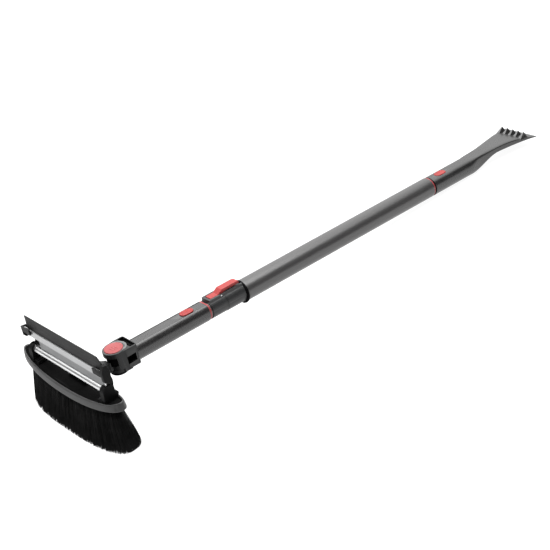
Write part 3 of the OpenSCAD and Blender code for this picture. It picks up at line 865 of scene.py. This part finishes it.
def blade_half(x):
    """Half width of the scraper: socket, waist and flared blade."""
    socket_end, waist_x, waist = 740, 768, 15.0
    if x < socket_end:
        return SOCKET_RADIUS
    if x < waist_x:
        return blend(SOCKET_RADIUS, waist, ease((x - socket_end) / (waist_x - socket_end)))
    return waist + (BLADE_HALF_WIDTH - waist) * ((x - waist_x) / (BLADE_END - waist_x)) ** 1.8


def blade_top(x):
    """Height of the scraper's upper side."""
    return SOCKET_FLAT + 2.0 * ease((x - 760) / 70) - 9 * max(0.0, (x - 836) / (BLADE_END - 836)) ** 1.6


def blade_low(x):
    """Height of the scraper's underside."""
    throat_x, throat = 812, 3.6
    if x < throat_x:
        return -SOCKET_RADIUS + (SOCKET_RADIUS + throat) * ease((x - 740) / 72)
    return throat + 1.6 * ease((x - throat_x) / (BLADE_END - throat_x))


def tooth(y):
    """Wedge that rises towards the blade's edge and drops steeply."""
    sunk, rise = 2, 9.5
    base = blade_top(866) - sunk
    peak = base + rise
    foot = [(856, y - 3.6, base), (856, y + 3.6, base), (875.5, y + 5.2, base), (875.5, y - 5.2, base)]
    crest = [(870.6, y - 0.6, peak), (870.6, y + 0.6, peak), (872.2, y + 0.6, peak), (872.2, y - 0.6, peak)]
    return new_object("tooth", loft([foot, crest]), POLE)


def scraper():
    """Socket with a flat on top and soft shoulders, flaring into the blade; five ice teeth."""
    stations = [SOCKET_START, SOCKET_START + 0.3, SOCKET_START + 1] + [660 + 10 * k for k in range(8)]
    stations += [740 + 3 * k for k in range(51)] + [BLADE_END - 0.8, BLADE_END - 0.2, BLADE_END]
    rings = []
    for x in stations:
        turn = ease((x - 738) / 50)
        exponent = blend(2.0, 5.5, turn)
        half, top, low = blade_half(x), blade_top(x), blade_low(x)
        round_top = blend(SOCKET_RADIUS, top, turn)
        middle, height = (round_top + low) / 2, (round_top - low) / 2
        # rounded shoulder between the flat and the round side of the socket
        soft = 3.4 * (1 - turn) + 0.01
        ring = []
        for a in full_turn(144):
            y = half * power(math.cos(a), 2 / exponent)
            z = middle + height * power(math.sin(a), 2 / exponent)
            blunt = max(soft - abs(z - top), 0.0) ** 2 / soft / 4
            ring.append((x, y, min(z, top) - blunt))
        rings.append(ring)
    thing = new_object("scraper_shell", loft(rings), POLE)
    tooth_pitch = 12.0
    combine(thing, [tooth((k - 2) * tooth_pitch) for k in range(5)], "UNION")
    bore = bore_cutter(648, 735, 12)
    mouth = bore_cutter(648, 667, 14.8, top=12.0)
    combine(thing, [bore, mouth, window_cutter(SCRAPER_BUTTON_X)], "DIFFERENCE")
    finish_piece(thing, "grey", ["scraper_body"], sharp=35)


scraper()
oval_button("scraper_button_pad", "scraper_button", SCRAPER_BUTTON_X, top=14.5, depth=5.2, ribbed=False)


# ---- springs ----

def spring(name, node, place, x, radius, low, high, wire, turns):
    """Coil for the button or lever on it, built at one fixed length."""
    thing = new_object(name, shifted(helix(radius, low, high, wire, turns), x), place)
    finish_piece(thing, "steel", [node])
    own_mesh(thing)


spring("pivot_spring_coil", "pivot_spring", HEAD,
       x=0, radius=7, low=4.2, high=8.55, wire=0.9, turns=2.5)
spring("neck_spring_coil", "neck_button_spring", POLE,
       x=NECK_BUTTON_X, radius=3.6, low=-10.4, high=10.35, wire=0.9, turns=8)
spring("lever_spring_coil", "lever_spring", POLE,
       x=213, radius=3, low=15.8, high=20, wire=0.7, turns=2.5)
spring("scraper_spring_coil", "scraper_button_spring", POLE,
       x=SCRAPER_BUTTON_X, radius=3.6, low=1, high=9.25, wire=0.9, turns=5)


# ---- studio ----

def studio():
    """Pale floor, bright far side, soft lights and the camera."""
    scene = bpy.context.scene
    far = 30
    corners = [(-far, -far, 0), (far, -far, 0), (far, far, 0), (-far, far, 0)]
    floor = new_object("floor", (corners, [(0, 1, 2, 3)]), Matrix.Identity(4))
    material, _, shader = new_material("pale_floor")
    shader.inputs["Base Color"].default_value = (0.2, 0.2, 0.2, 1)
    shader.inputs["Roughness"].default_value = 0.9
    shader.inputs["Specular IOR Level"].default_value = 0.0
    shader.inputs["Emission Color"].default_value = (1, 1, 1, 1)
    shader.inputs["Emission Strength"].default_value = 0.93
    floor.data.materials.append(material)

    world = bpy.data.worlds.new("studio")
    scene.world = world
    world.use_nodes = True
    background = world.node_tree.nodes["Background"]
    # bright wall and ceiling on the far side, dark room behind the camera
    place = world.node_tree.nodes.new("ShaderNodeTexCoord")
    sums = world.node_tree.nodes.new("ShaderNodeVectorMath")
    sums.operation = "DOT_PRODUCT"
    sums.inputs[1].default_value = (0.4, 0.62, 1.0)
    world.node_tree.links.new(place.outputs["Generated"], sums.inputs[0])
    glow = remap(world.node_tree, sums.outputs["Value"], 0.55, 1.3, 0.04, 2.6)
    world.node_tree.links.new(glow, background.inputs["Strength"])
    background.inputs["Color"].default_value = (1, 1, 1, 1)

    def softbox(name, place, target, size, watts):
        data = bpy.data.lights.new(name, "AREA")
        data.shape = "RECTANGLE"
        data.size, data.size_y = size
        data.energy = watts
        lamp = bpy.data.objects.new(name, data)
        lamp.location = place
        lamp.rotation_euler = (Vector(target) - Vector(place)).to_track_quat("-Z", "Y").to_euler()
        scene.collection.objects.link(lamp)

    softbox("top_box", (0.0, 0.02, 1.8), (-0.05, 0.0, 0.0), (2.6, 1.9), 78)
    softbox("side_box", (-2.0, 0.3, 1.3), (-0.4, 0.0, 0.05), (1.0, 1.0), 8)

    camera = bpy.data.cameras.new("camera")
    camera.sensor_width = 36
    camera.lens = 82.6
    camera.clip_start = 0.05
    holder = bpy.data.objects.new("camera", camera)
    holder.location = PIVOT + Vector((-0.6739, -1.3687, 0.9571))
    holder.rotation_euler = [math.radians(a) for a in (59.209, 10.764, -41.763)]
    scene.collection.objects.link(holder)
    scene.camera = holder
    scene.view_settings.view_transform = "Standard"
    scene.view_settings.look = "None"


studio()
